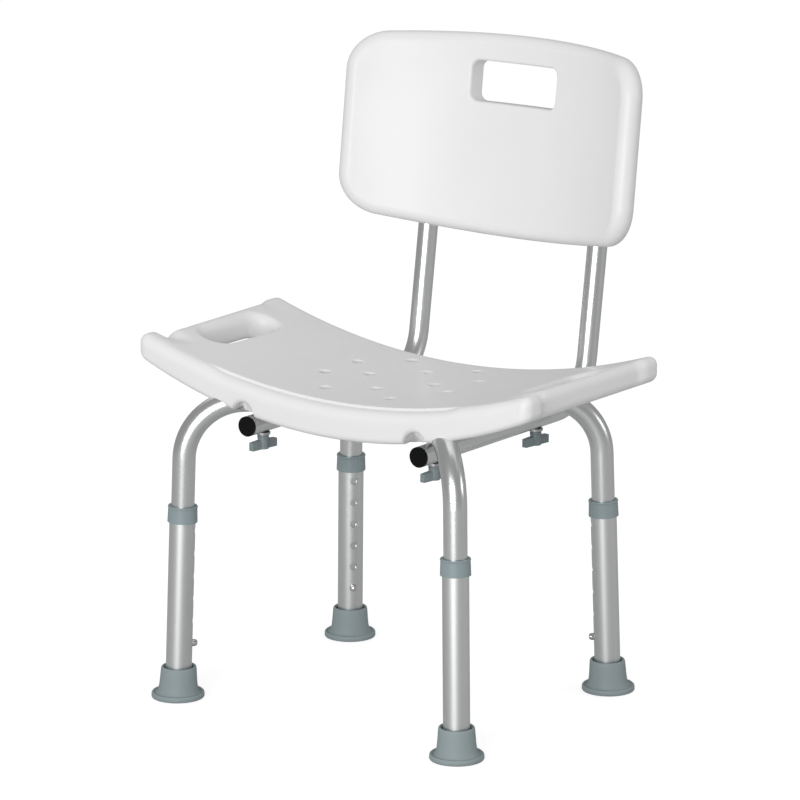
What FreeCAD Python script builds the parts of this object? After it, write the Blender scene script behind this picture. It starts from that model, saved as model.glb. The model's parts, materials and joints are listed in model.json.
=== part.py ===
import FreeCAD, Part
import math
import os

import Sketcher
from FreeCAD import Placement, Rotation, Vector

# Bath and shower chair: a moulded seat and a curved backrest on an aluminium frame.
# Millimetres. +Z is up, -Y is the front, +X is the right-hand side seen from the front.
# The shapes are laid out with Y = 0 midway between the front and the back feet. Every placement
# then takes them back by originShift, so the origin is on the floor under the middle of the chair's box.

os.makedirs("parts", exist_ok=True)
doc = FreeCAD.newDocument("ShowerChair")
sheet = doc.addObject("Spreadsheet::Sheet", "Sizes")

sizes = {
    # stance: where the middle of each foot stands
    "frontFootX": 188.4,
    "frontFootY": -150.9,
    "backFootX": 178.2,
    "backFootY": 150.3,
    "legLean": 2.02,
    "originShift": 0,
    # leg arches
    "archRadius": 12.7,
    "archWall": 1.3,
    "archBend": 66,
    "archHeight": 333.4,
    "archLegEnd": 44,
    "lapGap": 0.1,
    "lapHeight": "=archRadius - lapGap",
    "lapHalfLength": 22,
    "lapTaper": 16,
    # back tubes
    "backTubeRadius": 11.1,
    "backTubeWall": 1.2,
    "backTubeX": 114.6,
    "backTubeGap": 0.2,
    "backTubeFrontY": -117,
    "backTubeBend": 60,
    "postFootY": 189.4,
    "postLean": 8.49,
    "capFlange": 2.5,
    "capPlug": 12,
    # sliding legs
    "slideClearance": 0.3,
    "legWall": 1.3,
    "legBottom": 10,
    "legTop": 213,
    "holePitch": 25.4,
    "holeCount": 6,
    "lowHole": 61.6,
    "legHoleRadius": 4.2,
    "collarBottom": 199,
    "collarTop": 217,
    "collarWall": 3.8,
    "collarNeck": 0.6,
    "collarRadius": "=archRadius + collarWall",
    "collarNeckRadius": "=collarRadius - collarNeck",
    "collarLip": 2.6,
    "fitGap": 0.05,
    # feet
    "footHeight": 35,
    "footWall": 6.8,
    "footTopRadius": "=archRadius + footWall",
    "footFlare": 2,
    "footBaseRadius": "=footTopRadius + footFlare",
    "footFlange": 7.65,
    "footFlangeRadius": "=footBaseRadius + footFlange",
    "footFlangeHeight": 8,
    "footFlangeSide": 4.8,
    "footFlangeSlope": 3,
    "footFlangeRise": 1,
    "footChamfer": 1.5,
    "footRecessRadius": 15,
    "footRecessDepth": 1.5,
    "discThickness": 1.5,
    # snap buttons
    "buttonRadius": 3.9,
    "buttonProud": 5.5,
    "buttonSide": 2.75,
    "buttonShoulder": 4.675,
    "buttonShoulderRadius": 3.12,
    "buttonTopRadius": 1.56,
    "buttonFlangeRadius": 4.8,
    "buttonFlange": 1.2,
    "buttonBase": 7,
    "springWidth": 7,
    "springThickness": 0.8,
    "springDrop": 14,
    "springBackGap": 1.2,
    "springFold": 2,
    # clamp bolts and wing knobs
    "studRadius": 2.95,
    "studHoleRadius": 3.4,
    "washerRadius": 8,
    "washerThickness": 2.4,
    "knobHubRadius": 6,
    "knobHubHeight": 6,
    "knobWingHeight": 10,
    "knobWingHalf": 18.5,
    "knobWingThickness": 6,
    "knobWingSlope": 1,
    "knobWingTurn": 83,
    "insertRadius": 5,
    "insertHeight": 12,
    "insertAboveArch": 0.5,
    "insertBottom": "=archHeight + archRadius + insertAboveArch",
    "insertTop": "=insertBottom + insertHeight",
    "studShort": 1.6,
    "studTop": "=insertTop - studShort",
    "turnGap": 0.3,
    # middle bolt of the lap joint
    "lapBoltRadius": 3,
    "lapBoltHeadRadius": 6,
    "lapBoltHeadHeight": 3.2,
    "lapBoltHeadSide": 1.92,
    "lapBoltHeadTop": 3.6,
    "lapBoltTail": 3,
    "lapBoltRoom": 1,
    "lapNutFlats": 10,
    "lapNutHeight": 5,
    # seat
    "seatHalfWidth": 260,
    "seatFrontY": -128,
    "seatBackY": 123,
    "seatAboveArch": 11.4,
    "seatTopMiddle": "=archHeight + archRadius + seatAboveArch",
    "seatTopRise": 44.9,
    "seatMiddleThickness": 38.5,
    "seatBottomRise": 55.1,
    "seatFrontCorner": 13,
    "seatBackCorner": 13,
    "tipLength": 26,
    "recessDepth": 10,
    "recessInner": 14,
    "recessOuter": 16,
    "seatTopEdge": 12,
    "seatBottomEdge": 4,
    "channelClearance": 0.3,
    "handleInset": 42,
    "handleX": "=seatHalfWidth - handleInset",
    "handleY": -0.5,
    "handleWidth": 36,
    "handleLength": 109,
    "handleEdge": 5,
    "drainRadius": 6,
    "drainMiddleY": 8,
    "drainX": 44,
    "drainFarX": 82,
    "drainEndY": 79,
    "drainInnerY": 47,
    "drainFarY": 30,
    "scallopWidth": 30,
    "scallopHeight": 12,
    "scallopDepth": 14,
    "grooveY": 88,
    "grooveRadius": 26,
    "grooveDepth": 8,
    "grooveLength": 50,
    # backrest
    "panelHalfWidth": 195,
    "panelThickness": 26,
    "panelCurve": 310,
    "panelAhead": 2.37,
    "panelBottomZ": 480,
    "panelLean": 7.2,
    "panelBottom": -3,
    "panelTop": 221.5,
    "panelTopArch": 12.5,
    "panelBottomArch": 15.5,
    "panelCorner": 45,
    "panelEdge": 12,
    "windowHalfWidth": 57,
    "windowBottom": 145,
    "windowTop": 190.5,
    "windowCorner": 9,
    "windowEdge": 3.5,
    "socketWall": 4,
    "socketGap": 0.15,
    "socketRise": 12,
    "socketBottom": "=panelBottomZ + socketRise",
    "postRise": 138,
    "postTop": "=panelBottomZ + postRise",
    "screwRise": 80,
    "screwHeight": "=panelBottomZ + screwRise",
    "screwRadius": 2.4,
    "screwHeadRadius": 4.6,
    "screwHeadHeight": 2.6,
    "screwLength": 16,
    "screwSink": 1,
}
for row, (name, value) in enumerate(sizes.items(), 1):
    sheet.set(f"A{row}", name)
    sheet.set(f"B{row}", str(value))
    sheet.setAlias(f"B{row}", name)
doc.recompute()

FULL_TURN = 360
OVERLAP = 1  # how far a cutting tool runs past what it cuts


def size(name):
    return float(sheet.get(name))


# sketches and bodies

def newBody(label):
    body = doc.addObject("PartDesign::Body", label)
    body.Label = label
    return body


def originPlane(body, role):
    return next(feature for feature in body.Origin.OriginFeatures if feature.Role == role)


def sketchOn(body, role, name, height=None):
    sketch = body.newObject("Sketcher::SketchObject", name)
    sketch.AttachmentSupport = [(originPlane(body, role), "")]
    sketch.MapMode = "FlatFace"
    if height:
        sketch.setExpression("AttachmentOffset.Base.z", height)
    return sketch


def pin(sketch, geometry, point, x, y):
    """Hold one point of a sketch at two expressions."""
    for kind, axis, expression in (("DistanceX", -2, x), ("DistanceY", -1, y)):
        if expression == "0":
            sketch.addConstraint(Sketcher.Constraint("PointOnObject", geometry, point, axis))
            continue
        where = sketch.getPoint(geometry, point)
        start = where.x if kind == "DistanceX" else where.y
        index = sketch.addConstraint(Sketcher.Constraint(kind, -1, 1, geometry, point, start))
        sketch.setExpression(f"Constraints[{index}]", expression)


def circle(sketch, radius, x="0", y="0"):
    index = sketch.addGeometry(Part.Circle(Vector(1, 1, 0), Vector(0, 0, 1), 2), False)
    held = sketch.addConstraint(Sketcher.Constraint("Radius", index, 2))
    sketch.setExpression(f"Constraints[{held}]", radius)
    pin(sketch, index, 3, x, y)


def polygon(sketch, corners):
    count = len(corners)
    seeds = []
    for k in range(count):
        turn = 2 * math.pi * (k + 0.3) / count
        seeds.append(Vector(20 + 10 * math.cos(turn), 10 * math.sin(turn), 0))
    lines = [
        sketch.addGeometry(Part.LineSegment(seeds[k], seeds[(k + 1) % count]), False)
        for k in range(count)
    ]
    for k in range(count):
        following = lines[(k + 1) % count]
        sketch.addConstraint(Sketcher.Constraint("Coincident", lines[k], 2, following, 1))
    for line, (x, y) in zip(lines, corners):
        pin(sketch, line, 1, x, y)


def pad(body, sketch, length, name="Pad"):
    feature = body.newObject("PartDesign::Pad", name)
    feature.Profile = sketch
    feature.setExpression("Length", length)
    return feature


def pocketThrough(body, sketch, name="Pocket"):
    feature = body.newObject("PartDesign::Pocket", name)
    feature.Profile = sketch
    feature.Type = "ThroughAll"
    feature.Midplane = True
    return feature


def revolve(body, sketch, name="Revolution"):
    feature = body.newObject("PartDesign::Revolution", name)
    feature.Profile = sketch
    feature.ReferenceAxis = (sketch, ["V_Axis"])
    feature.Angle = FULL_TURN
    return feature


def turned(label, corners):
    """A body turned about its own Z axis from corners given as radius and height."""
    body = newBody(label)
    sketch = sketchOn(body, "XZ_Plane", "Outline")
    polygon(sketch, corners)
    revolve(body, sketch)
    return body


def place(thing, x, y, z="0", yaw="0", lean=None):
    """Stand a sub-part on a point of the chair, turned about Z and then leant over its own Y."""
    thing.setExpression("Placement.Base.x", x)
    thing.setExpression("Placement.Base.y", f"({y}) - Sizes.originShift")
    thing.setExpression("Placement.Base.z", z)
    if lean is None:
        thing.setExpression("Placement.Rotation", f"create(<<rotation>>; vector(0; 0; 1); {yaw})")
    else:
        thing.setExpression(
            "Placement.Rotation",
            f"create(<<rotation>>; vector(0; 0; 1); {yaw})"
            f" * create(<<rotation>>; vector(0; 1; 0); {lean})",
        )


# where the four corners and their bolts are

SLOPE = "((Sizes.backFootY - Sizes.frontFootY) / (Sizes.backFootX + Sizes.frontFootX))"
YAW = "atan2(Sizes.backFootY - Sizes.frontFootY; Sizes.backFootX + Sizes.frontFootX)"
FRONT_BOLT_Y = f"(Sizes.frontFootY + (Sizes.frontFootX - Sizes.backTubeX) * {SLOPE})"
BACK_BOLT_Y = f"(Sizes.frontFootY + (Sizes.frontFootX + Sizes.backTubeX) * {SLOPE})"
LAP_Y = f"(Sizes.frontFootY + Sizes.frontFootX * {SLOPE})"
BACK_TUBE_Z = "(Sizes.archHeight - Sizes.archRadius - Sizes.backTubeGap - Sizes.backTubeRadius)"
LEG_BORE = "(Sizes.archRadius + Sizes.slideClearance)"
LEG_RADIUS = f"({LEG_BORE} + Sizes.legWall)"

corners = {
    "front_left": (
        "-Sizes.frontFootX", "Sizes.frontFootY", YAW, "-Sizes.backTubeX", FRONT_BOLT_Y,
    ),
    "front_right": (
        "Sizes.frontFootX", "Sizes.frontFootY", f"180 deg - {YAW}", "Sizes.backTubeX", FRONT_BOLT_Y,
    ),
    "back_left": (
        "-Sizes.backFootX", "Sizes.backFootY", f"-{YAW}", "-Sizes.backTubeX", BACK_BOLT_Y,
    ),
    "back_right": (
        "Sizes.backFootX", "Sizes.backFootY", f"180 deg + {YAW}", "Sizes.backTubeX", BACK_BOLT_Y,
    ),
}

spanX = size("frontFootX") + size("backFootX")
spanY = size("backFootY") - size("frontFootY")
archYaw = math.atan2(spanY, spanX)
archSpan = math.hypot(spanX, spanY)
lapPosition = size("frontFootX") / math.cos(archYaw)
frontBoltPosition = (size("frontFootX") - size("backTubeX")) / math.cos(archYaw)
backBoltPosition = (size("frontFootX") + size("backTubeX")) / math.cos(archYaw)
lapY = size("frontFootY") + size("frontFootX") * math.tan(archYaw)
frontBoltY = size("frontFootY") + frontBoltPosition * math.sin(archYaw)
backBoltY = size("frontFootY") + backBoltPosition * math.sin(archYaw)
legLean = math.radians(size("legLean"))
boltPlaces = [
    (side * size("backTubeX"), y) for side in (-1, 1) for y in (frontBoltY, backBoltY)
]
UP = Vector(0, 0, 1)
BACKWARDS = Vector(0, 1, 0)


# leg arches

def roundSection(x, z, radius):
    """A circle across the tube, in four arcs that match the four sides of lapSection."""
    quarter = math.pi / 4
    edges = []
    for start in (-quarter, quarter, 3 * quarter, 5 * quarter):
        ends = [
            Vector(x, radius * math.cos(turn), z + radius * math.sin(turn))
            for turn in (start, start + quarter, start + 2 * quarter)
        ]
        edges.append(Part.Arc(*ends).toShape())
    return Part.Wire(edges)


def lapSection(x, z, halfWidth, halfHeight):
    """The pressed tube: flat above and below, round at both sides."""
    flat = halfWidth - halfHeight
    right = [Vector(x, flat, z - halfHeight), Vector(x, halfWidth, z), Vector(x, flat, z + halfHeight)]
    left = [Vector(x, -flat, z + halfHeight), Vector(x, -halfWidth, z), Vector(x, -flat, z - halfHeight)]
    return Part.Wire([
        Part.Arc(*right).toShape(),
        Part.makeLine(right[2], left[0]),
        Part.Arc(*left).toShape(),
        Part.makeLine(left[2], right[0]),
    ])


def archPath(legEnd, inner):
    """One leg and its bend, from the leg's lower end to a point on the level run."""
    height = size("archHeight")
    bend = size("archBend")
    along = Vector(math.sin(legLean), 0, math.cos(legLean))
    corner = along * (height / math.cos(legLean))
    tangent = bend * math.tan((math.pi / 2 - legLean) / 2)
    start = along * legEnd
    bendStart = corner - along * tangent
    bendEnd = corner + Vector(tangent, 0, 0)
    centre = bendEnd - UP * bend
    middle = centre + (corner - centre).normalize() * bend
    return start, along, Part.Wire([
        Part.makeLine(start, bendStart),
        Part.Arc(bendStart, middle, bendEnd).toShape(),
        Part.makeLine(bendEnd, Vector(inner, 0, height)),
    ])


def halfArch(radius, legEnd, inner):
    start, along, path = archPath(legEnd, inner)
    return path.makePipeShell([Part.Wire(Part.makeCircle(radius, start, along))], True, True)


def mirroredHalf(radius, legEnd, inner):
    half = halfArch(radius, legEnd, archSpan - inner)
    return half.mirror(Vector(archSpan / 2, 0, 0), Vector(1, 0, 0))


def lapHalfWidth():
    """Half the width of the pressed tube, whose outline is as long as the round one's."""
    round_ = 2 * math.pi * size("archRadius")
    height = size("lapHeight")
    return (round_ - math.pi * height) / 4 + height / 2


def archForm(inset, legEnd, level):
    """An arch's outer form, or with an inset its bore. Level is 1 for the upper lap, -1 for the lower."""
    radius = size("archRadius") - inset
    halfHeight = size("lapHeight") / 2 - inset
    halfWidth = lapHalfWidth() - inset
    height = size("archHeight")
    lapZ = height + level * (size("archRadius") - size("lapHeight") / 2)
    flat = size("lapHalfLength")
    taper = flat + size("lapTaper")
    form = halfArch(radius, legEnd, lapPosition - taper)
    pieces = [mirroredHalf(radius, legEnd, lapPosition + taper)]
    for side in (-1, 1):
        pieces.append(Part.makeLoft([
            roundSection(lapPosition + side * taper, height, radius),
            lapSection(lapPosition + side * flat, lapZ, halfWidth, halfHeight),
        ], True, True))
    lap = Part.Face(lapSection(lapPosition - flat, lapZ, halfWidth, halfHeight))
    pieces.append(lap.extrude(Vector(2 * flat, 0, 0)))
    return form.fuse(pieces).removeSplitter()


def archShape(level):
    outer = archForm(0, size("archLegEnd"), level)
    bore = archForm(size("archWall"), size("archLegEnd") - size("archWall"), level)
    height = size("archHeight")
    reach = 2 * size("archRadius")
    tools = []
    for position, radius in (
        (frontBoltPosition, size("studHoleRadius")),
        (backBoltPosition, size("studHoleRadius")),
        (lapPosition, size("lapBoltRadius") + size("turnGap")),
    ):
        tools.append(Part.makeCylinder(radius, 2 * reach, Vector(position, 0, height - reach), UP))
    along = Vector(math.sin(legLean), 0, math.cos(legLean))
    inward = Vector(math.cos(legLean), 0, -math.sin(legLean))
    button = Part.makeCylinder(
        size("buttonRadius") + size("turnGap"), size("archRadius") + OVERLAP, along * size("lowHole"), inward
    )
    tools.append(button)
    tools.append(button.mirror(Vector(archSpan / 2, 0, 0), Vector(1, 0, 0)))
    return outer.cut(bore).cut(tools)


def newFeature(label, shape):
    feature = doc.addObject("Part::Feature", label)
    feature.Label = label
    feature.Shape = shape
    return feature


archUpper = newFeature("leg_arch_upper", archShape(1))
place(archUpper, "-Sizes.frontFootX", "Sizes.frontFootY", "0", YAW)
archLower = newFeature("leg_arch_lower", archShape(-1))
place(archLower, "Sizes.frontFootX", "Sizes.frontFootY", "0", f"180 deg - {YAW}")


# back tubes

def backTube(label, x):
    """A tube that runs level under the arches, bends up behind the seat and leans back."""
    body = newBody(label)
    path = sketchOn(body, "XZ_Plane", "Path")
    tubeZ = size("archHeight") - size("archRadius") - size("backTubeGap") - size("backTubeRadius")
    lean = math.radians(size("postLean"))
    rise = Vector(math.sin(lean), math.cos(lean), 0)
    foot = Vector(size("postFootY") - size("backTubeFrontY"), 0, 0)
    bend = size("backTubeBend")
    tangent = bend * math.tan((math.pi / 2 - lean) / 2)
    bendStart = foot - Vector(tangent, 0, 0)
    top = foot + rise * ((size("postTop") - tubeZ) / math.cos(lean))
    arc = Part.Circle(bendStart + Vector(0, bend, 0), UP, bend)
    run = path.addGeometry(Part.LineSegment(Vector(0, 0, 0), bendStart), False)
    turn = path.addGeometry(Part.ArcOfCircle(arc, -math.pi / 2, -lean), False)
    post = path.addGeometry(Part.LineSegment(foot + rise * tangent, top), False)
    path.addConstraint(Sketcher.Constraint("Coincident", run, 1, -1, 1))
    path.addConstraint(Sketcher.Constraint("Horizontal", run))
    path.addConstraint(Sketcher.Constraint("Tangent", run, 2, turn, 1))
    path.addConstraint(Sketcher.Constraint("Tangent", turn, 2, post, 1))
    radius = path.addConstraint(Sketcher.Constraint("Radius", turn, bend))
    path.setExpression(f"Constraints[{radius}]", "Sizes.backTubeBend")
    leanHeld = path.addConstraint(Sketcher.Constraint("Angle", post, math.pi / 2 - lean))
    path.setExpression(f"Constraints[{leanHeld}]", "90 deg - Sizes.postLean * 1 deg")
    pin(
        path, post, 2,
        "Sizes.postFootY - Sizes.backTubeFrontY"
        f" + (Sizes.postTop - {BACK_TUBE_Z}) * tan(Sizes.postLean * 1 deg)",
        f"Sizes.postTop - {BACK_TUBE_Z}",
    )
    section = sketchOn(body, "YZ_Plane", "Section")
    circle(section, "Sizes.backTubeRadius")
    circle(section, "Sizes.backTubeRadius - Sizes.backTubeWall")
    pipe = body.newObject("PartDesign::AdditivePipe", "Tube")
    pipe.Profile = section
    pipe.Spine = (path, [])
    holes = sketchOn(body, "XY_Plane", "BoltHoles")
    for boltY in (FRONT_BOLT_Y, BACK_BOLT_Y):
        circle(holes, "Sizes.studHoleRadius", f"{boltY} - Sizes.backTubeFrontY", "0")
    pocketThrough(body, holes)
    pilot = sketchOn(body, "YZ_Plane", "ScrewHole")
    circle(pilot, "Sizes.screwRadius + Sizes.fitGap", "0", f"Sizes.screwHeight - {BACK_TUBE_Z}")
    pocketThrough(body, pilot)
    place(body, x, "Sizes.backTubeFrontY", BACK_TUBE_Z, "90")
    return body


for side, x in (("left", "-Sizes.backTubeX"), ("right", "Sizes.backTubeX")):
    backTube(f"back_tube_{side}", x)
    cap = turned(f"tube_cap_{side}", [
        ("0", "-Sizes.capFlange"),
        ("Sizes.backTubeRadius", "-Sizes.capFlange"),
        ("Sizes.backTubeRadius", "0"),
        ("Sizes.backTubeRadius - Sizes.backTubeWall - Sizes.fitGap", "0"),
        ("Sizes.backTubeRadius - Sizes.backTubeWall - Sizes.fitGap", "Sizes.capPlug"),
        ("0", "Sizes.capPlug"),
    ])
    place(cap, x, "Sizes.backTubeFrontY", BACK_TUBE_Z, "90", "90")


# sliding legs, each along its own leaning axis

def legTube(corner):
    body = newBody(f"leg_tube_{corner}")
    ring = sketchOn(body, "XY_Plane", "Ring", "Sizes.legBottom")
    circle(ring, LEG_RADIUS)
    circle(ring, LEG_BORE)
    pad(body, ring, "Sizes.legTop - Sizes.legBottom")
    hole = sketchOn(body, "YZ_Plane", "Hole")
    circle(hole, "Sizes.legHoleRadius", "0", "Sizes.lowHole")
    pocket = body.newObject("PartDesign::Pocket", "HolePocket")
    pocket.Profile = hole
    pocket.Type = "Length"
    pocket.Reversed = True
    pocket.setExpression("Length", f"{LEG_RADIUS} + {OVERLAP}")
    column = body.newObject("PartDesign::LinearPattern", "HoleColumn")
    column.Originals = [pocket]
    column.Direction = (hole, ["V_Axis"])
    column.setExpression("Length", "Sizes.holePitch * (Sizes.holeCount - 1)")
    column.setExpression("Occurrences", "Sizes.holeCount")
    body.Tip = column
    return body


def legCollar(corner):
    neck = "Sizes.collarTop - Sizes.collarLip"
    body = turned(f"leg_collar_{corner}", [
        (f"{LEG_RADIUS} + Sizes.fitGap", "Sizes.collarBottom"),
        ("Sizes.collarRadius", "Sizes.collarBottom"),
        ("Sizes.collarNeckRadius", neck),
        ("Sizes.collarRadius", "Sizes.collarTop - Sizes.collarLip / 2"),
        ("Sizes.collarNeckRadius", "Sizes.collarTop"),
        (LEG_BORE, "Sizes.collarTop"),
        (LEG_BORE, "Sizes.legTop + Sizes.fitGap"),
        (f"{LEG_RADIUS} + Sizes.fitGap", "Sizes.legTop + Sizes.fitGap"),
    ])
    return body


def foot(corner):
    """A rubber foot that stands square on the floor, bored along the leaning leg."""
    label = f"foot_{corner}"
    body = turned(f"foot_form_{corner}", [
        ("0", "Sizes.footRecessDepth"),
        ("Sizes.footRecessRadius", "Sizes.footRecessDepth"),
        ("Sizes.footRecessRadius", "0"),
        ("Sizes.footFlangeRadius - Sizes.footChamfer", "0"),
        ("Sizes.footFlangeRadius", "Sizes.footChamfer"),
        ("Sizes.footFlangeRadius", "Sizes.footFlangeSide"),
        ("Sizes.footFlangeRadius - Sizes.footFlangeSlope", "Sizes.footFlangeHeight"),
        ("Sizes.footBaseRadius", "Sizes.footFlangeHeight + Sizes.footFlangeRise"),
        ("Sizes.footTopRadius", "Sizes.footHeight - Sizes.footChamfer"),
        ("Sizes.footTopRadius - Sizes.footChamfer", "Sizes.footHeight"),
        ("0", "Sizes.footHeight"),
    ])
    socket = doc.addObject("Part::Cylinder", f"Socket_{corner}")
    socket.setExpression("Radius", f"{LEG_RADIUS} + Sizes.fitGap")
    socket.setExpression("Height", "Sizes.footHeight * 2")
    rest = "Sizes.legBottom - Sizes.discThickness - Sizes.fitGap"
    socket.setExpression("Placement.Base.x", f"({rest}) * sin(Sizes.legLean * 1 deg)")
    socket.setExpression("Placement.Base.z", f"({rest}) * cos(Sizes.legLean * 1 deg)")
    socket.setExpression("Placement.Rotation", "create(<<rotation>>; vector(0; 1; 0); Sizes.legLean)")
    cut = doc.addObject("Part::Cut", label)
    cut.Base = body
    cut.Tool = socket
    cut.Label = label
    return cut


def footDisc(corner):
    return turned(f"foot_disc_{corner}", [
        ("0", "Sizes.legBottom - Sizes.discThickness"),
        (LEG_RADIUS, "Sizes.legBottom - Sizes.discThickness"),
        (LEG_RADIUS, "Sizes.legBottom"),
        ("0", "Sizes.legBottom"),
    ])


def snapButton(corner, x, y, yaw):
    """A domed pin, turned about its own axis, that points from the tube's axis to the chair's middle."""
    body = turned(f"snap_button_{corner}", [
        ("0", "Sizes.buttonBase"),
        ("Sizes.buttonFlangeRadius", "Sizes.buttonBase"),
        ("Sizes.buttonFlangeRadius", "Sizes.buttonBase + Sizes.buttonFlange"),
        ("Sizes.buttonRadius", "Sizes.buttonBase + Sizes.buttonFlange"),
        ("Sizes.buttonRadius", f"{LEG_RADIUS} + Sizes.buttonSide"),
        ("Sizes.buttonShoulderRadius", f"{LEG_RADIUS} + Sizes.buttonShoulder"),
        ("Sizes.buttonTopRadius", f"{LEG_RADIUS} + Sizes.buttonProud"),
        ("0", f"{LEG_RADIUS} + Sizes.buttonProud"),
    ])
    lean = "Sizes.legLean * 1 deg"
    place(
        body,
        f"({x}) + Sizes.lowHole * sin({lean}) * cos({yaw})",
        f"({y}) + Sizes.lowHole * sin({lean}) * sin({yaw})",
        f"Sizes.lowHole * cos({lean})",
        yaw,
        "90 + Sizes.legLean",
    )
    return body


def buttonSpring(corner):
    """A strip folded to a V inside the tube, from the button's flange to the wall behind it."""
    body = newBody(f"button_spring_{corner}")
    strip = sketchOn(body, "XZ_Plane", "Strip")
    wall = "-(Sizes.archRadius - Sizes.archWall - Sizes.springBackGap)"
    inner = f"{wall} + Sizes.springThickness"
    front = "Sizes.buttonBase"
    high = "Sizes.lowHole + Sizes.buttonFlangeRadius"
    bend = "Sizes.lowHole - Sizes.buttonFlangeRadius"
    fold = "Sizes.lowHole - Sizes.springDrop"
    polygon(strip, [
        (front, high),
        (front, bend),
        (wall, fold),
        (wall, high),
        (inner, high),
        (inner, f"{fold} + Sizes.springFold"),
        (f"{front} - Sizes.springThickness", f"{bend} + Sizes.springThickness / 2"),
        (f"{front} - Sizes.springThickness", high),
    ])
    feature = pad(body, strip, "Sizes.springWidth")
    feature.Midplane = True
    return body


for corner, (x, y, yaw, boltX, boltY) in corners.items():
    for part in (legTube(corner), legCollar(corner), footDisc(corner), buttonSpring(corner)):
        place(part, x, y, "0", yaw, "Sizes.legLean")
    place(foot(corner), x, y, "0", yaw)
    snapButton(corner, x, y, yaw)


# clamp bolts, wing knobs and their inserts

UNDER_TUBE = f"({BACK_TUBE_Z} - Sizes.backTubeRadius - Sizes.fitGap)"
KNOB_TOP = f"({UNDER_TUBE} - Sizes.washerThickness - Sizes.turnGap)"


def wingKnob(corner):
    """A round hub with a flat wing under it, moulded on the stud's lower end."""
    body = newBody(f"knob_wing_{corner}")
    hub = sketchOn(body, "XY_Plane", "Hub", "-Sizes.knobHubHeight - Sizes.knobWingHeight")
    circle(hub, "Sizes.knobHubRadius")
    pad(body, hub, "Sizes.knobHubHeight + Sizes.knobWingHeight")
    wing = sketchOn(body, "XZ_Plane", "Wing")
    low = "-Sizes.knobHubHeight - Sizes.knobWingHeight"
    polygon(wing, [
        ("-Sizes.knobWingHalf", low),
        ("Sizes.knobWingHalf", low),
        ("Sizes.knobWingHalf", "-Sizes.knobHubHeight - Sizes.knobWingSlope"),
        ("Sizes.knobHubRadius", "-Sizes.knobHubHeight"),
        ("-Sizes.knobHubRadius", "-Sizes.knobHubHeight"),
        ("-Sizes.knobWingHalf", "-Sizes.knobHubHeight - Sizes.knobWingSlope"),
    ])
    blade = pad(body, wing, "Sizes.knobWingThickness")
    blade.Midplane = True
    bore = sketchOn(body, "XY_Plane", "Bore")
    circle(bore, "Sizes.studRadius + Sizes.fitGap")
    pocket = body.newObject("PartDesign::Pocket", "BorePocket")
    pocket.Profile = bore
    pocket.Type = "Length"
    pocket.setExpression("Length", "Sizes.knobHubHeight + Sizes.knobWingHeight / 2")
    return body


for corner, (x, y, yaw, boltX, boltY) in corners.items():
    place(wingKnob(corner), boltX, boltY, KNOB_TOP, "Sizes.knobWingTurn")
    stud = doc.addObject("Part::Cylinder", f"knob_stud_{corner}")
    stud.Label = f"knob_stud_{corner}"
    stud.setExpression("Radius", "Sizes.studRadius")
    lowEnd = f"({KNOB_TOP} - Sizes.knobHubHeight - Sizes.knobWingHeight / 2 + Sizes.fitGap)"
    stud.setExpression("Height", f"Sizes.studTop - {lowEnd}")
    place(stud, boltX, boltY, lowEnd)


def cylinder(name, radius, height, x, y, z):
    solid = doc.addObject("Part::Cylinder", name)
    solid.setExpression("Radius", radius)
    solid.setExpression("Height", height)
    solid.setExpression("Placement.Base.x", x)
    solid.setExpression("Placement.Base.y", y)
    solid.setExpression("Placement.Base.z", z)
    return solid


def ring(name, outer, inner, height, x, y, z):
    cut = doc.addObject("Part::Cut", name)
    cut.Base = cylinder(f"{name}Outer", outer, height, x, y, z)
    cut.Tool = cylinder(f"{name}Bore", inner, height, x, y, z)
    return cut


def group(label, pieces):
    compound = doc.addObject("Part::Compound", label)
    compound.Label = label
    compound.Links = pieces
    place(compound, "0", "0")
    return compound


group("knob_washers", [
    ring(
        f"Washer_{corner}", "Sizes.washerRadius", "Sizes.studHoleRadius", "Sizes.washerThickness",
        boltX, boltY, f"{KNOB_TOP} + Sizes.turnGap",
    )
    for corner, (x, y, yaw, boltX, boltY) in corners.items()
])
group("seat_inserts", [
    ring(
        f"Insert_{corner}", "Sizes.insertRadius", "Sizes.studRadius + Sizes.turnGap",
        "Sizes.insertTop - Sizes.insertBottom", boltX, boltY, "Sizes.insertBottom",
    )
    for corner, (x, y, yaw, boltX, boltY) in corners.items()
])

LAP_TOP = "(Sizes.archHeight + Sizes.archRadius)"
LAP_BOTTOM = "(Sizes.archHeight - Sizes.archRadius)"
LAP_BOLT_END = "-2 * Sizes.archRadius - Sizes.lapNutHeight - Sizes.lapBoltTail"
bolt = turned("lap_bolt", [
    ("0", LAP_BOLT_END),
    ("Sizes.lapBoltRadius", LAP_BOLT_END),
    ("Sizes.lapBoltRadius", "0"),
    ("Sizes.lapBoltHeadRadius", "0"),
    ("Sizes.lapBoltHeadRadius", "Sizes.lapBoltHeadSide"),
    ("Sizes.lapBoltHeadTop", "Sizes.lapBoltHeadHeight"),
    ("0", "Sizes.lapBoltHeadHeight"),
])
place(bolt, "0", LAP_Y, LAP_TOP)
nut = newBody("lap_nut")
hexagon = sketchOn(nut, "XY_Plane", "Hexagon", "-Sizes.lapNutHeight")
NUT_CORNER = "Sizes.lapNutFlats / sqrt(3)"
NUT_SIDES = 6
nutTurns = [k * FULL_TURN / NUT_SIDES for k in range(NUT_SIDES)]
polygon(hexagon, [
    (f"{NUT_CORNER} * cos({turn} deg)", f"{NUT_CORNER} * sin({turn} deg)") for turn in nutTurns
])
circle(hexagon, "Sizes.lapBoltRadius + Sizes.fitGap")
pad(nut, hexagon, "Sizes.lapNutHeight")
place(nut, "0", LAP_Y, LAP_BOTTOM)


# seat

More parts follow.
